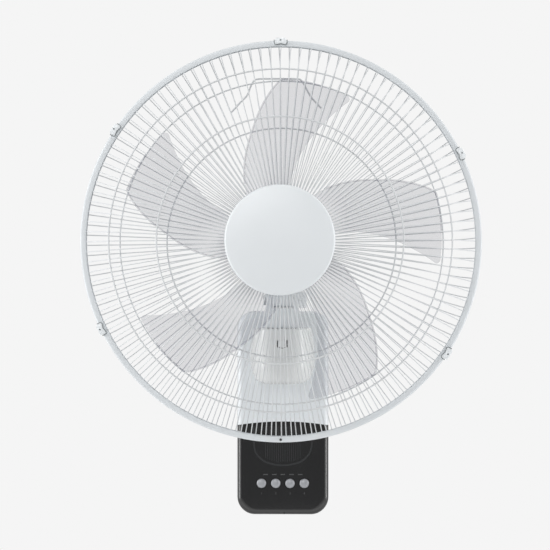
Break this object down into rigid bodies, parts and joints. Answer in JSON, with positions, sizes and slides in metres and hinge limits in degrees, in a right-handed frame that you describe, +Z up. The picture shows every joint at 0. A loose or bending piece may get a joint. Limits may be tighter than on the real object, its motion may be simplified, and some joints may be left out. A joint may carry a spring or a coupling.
{
  "type": "wall mounted fan",
  "caption": "Wall mounted fan with a slim wall box, a black key panel, a swivelling and tilting head, translucent blades and a round wire guard.",
  "frame": {"origin": "centre of the wall bracket's back face, on the wall", "axes": "+Z up, +Y into the wall, and the fan faces -Y"},
  "size_m": [0.432, 0.3469, 0.5446],
  "materials": {
    "white_gloss": "glossy",
    "black_gloss": "piano black",
    "silver_key": "silver paint",
    "coated_wire": "light grey coating",
    "clear_blade": "translucent, glossy",
    "grey_plastic": "satin",
    "dark_plastic": "matt",
    "board": "lacquered board",
    "plated_steel": "zinc plated",
    "core_steel": "laminated",
    "copper_winding": "enamelled copper",
    "brass": "machined"
  },
  "bodies": {
    "base": {"wall_bracket": "plated_steel", "back_cover": "dark_plastic", "front_cover": "white_gloss", "control_panel": "black_gloss", "control_board": "board", "key_switch_1": "dark_plastic", "key_switch_2": "dark_plastic", "key_switch_3": "dark_plastic", "key_switch_4": "dark_plastic", "signal_receiver": "dark_plastic", "cord_gland": "dark_plastic", "cover_screw_1": "plated_steel", "cover_screw_2": "plated_steel", "cover_screw_3": "plated_steel", "cover_screw_4": "plated_steel", "neck_housing": "white_gloss", "neck_cap": "white_gloss", "swing_bush": "grey_plastic", "swing_motor": "plated_steel"},
    "key_1": {"key_1": "silver_key"},
    "key_2": {"key_2": "silver_key"},
    "key_3": {"key_3": "silver_key"},
    "key_4": {"key_4": "silver_key"},
    "swing_pinion": {"swing_pinion": "brass"},
    "swivel": {"swivel_yoke": "white_gloss", "swing_gear": "grey_plastic", "swivel_retainer": "plated_steel", "tilt_pin": "plated_steel", "tilt_knob": "white_gloss"},
    "head": {"tilt_lug": "white_gloss", "motor_rear_cover": "white_gloss", "motor_front_cover": "white_gloss", "motor_stator": "core_steel", "coil_front": "copper_winding", "coil_rear": "copper_winding", "front_bearing": "plated_steel", "rear_bearing": "plated_steel", "rear_guard": "coated_wire", "guard_nut": "white_gloss", "front_guard": "coated_wire", "guard_ring": "white_gloss", "ring_clip_1": "white_gloss", "ring_clip_2": "white_gloss", "ring_clip_3": "white_gloss", "ring_clip_4": "white_gloss", "ring_clip_5": "white_gloss", "ring_lock_screw": "plated_steel", "guard_handle": "coated_wire", "front_badge": "white_gloss"},
    "rotor": {"motor_shaft": "plated_steel", "motor_rotor": "core_steel", "drive_pin": "plated_steel", "fan_blade": "clear_blade", "blade_cap": "white_gloss"}
  },
  "joints": [
    {"name": "key_1_press", "type": "slide", "parent": "base", "child": "key_1", "axis": [0, 1, 0], "range_m": [0, 0.0012], "stiffness_N_per_m": 400},
    {"name": "key_2_press", "type": "slide", "parent": "base", "child": "key_2", "axis": [0, 1, 0], "range_m": [0, 0.0012], "stiffness_N_per_m": 400},
    {"name": "key_3_press", "type": "slide", "parent": "base", "child": "key_3", "axis": [0, 1, 0], "range_m": [0, 0.0012], "stiffness_N_per_m": 400},
    {"name": "key_4_press", "type": "slide", "parent": "base", "child": "key_4", "axis": [0, 1, 0], "range_m": [0, 0.0012], "stiffness_N_per_m": 400},
    {"name": "swing", "type": "hinge", "parent": "base", "child": "swivel", "pos_m": [0, -0.09, 0.1034], "axis": [0, 0, 1], "range_deg": [-40, 40]},
    {"name": "pinion_spin", "type": "hinge", "parent": "base", "child": "swing_pinion", "pos_m": [-0.0242, -0.09, 0.0874], "axis": [0, 0, 1], "range_deg": [-120, 120]},
    {"name": "tilt", "type": "hinge", "parent": "swivel", "child": "head", "pos_m": [0, -0.09, 0.1364], "axis": [1, 0, 0], "range_deg": [-10, 30]},
    {"name": "rotor_spin", "type": "hinge", "parent": "head", "child": "rotor", "pos_m": [0, -0.262, 0.202], "axis": [0, -1, 0], "continuous": true}
  ],
  "couplings": [
    {"joint": "pinion_spin", "follows": "swing", "ratio": -3}
  ]
}
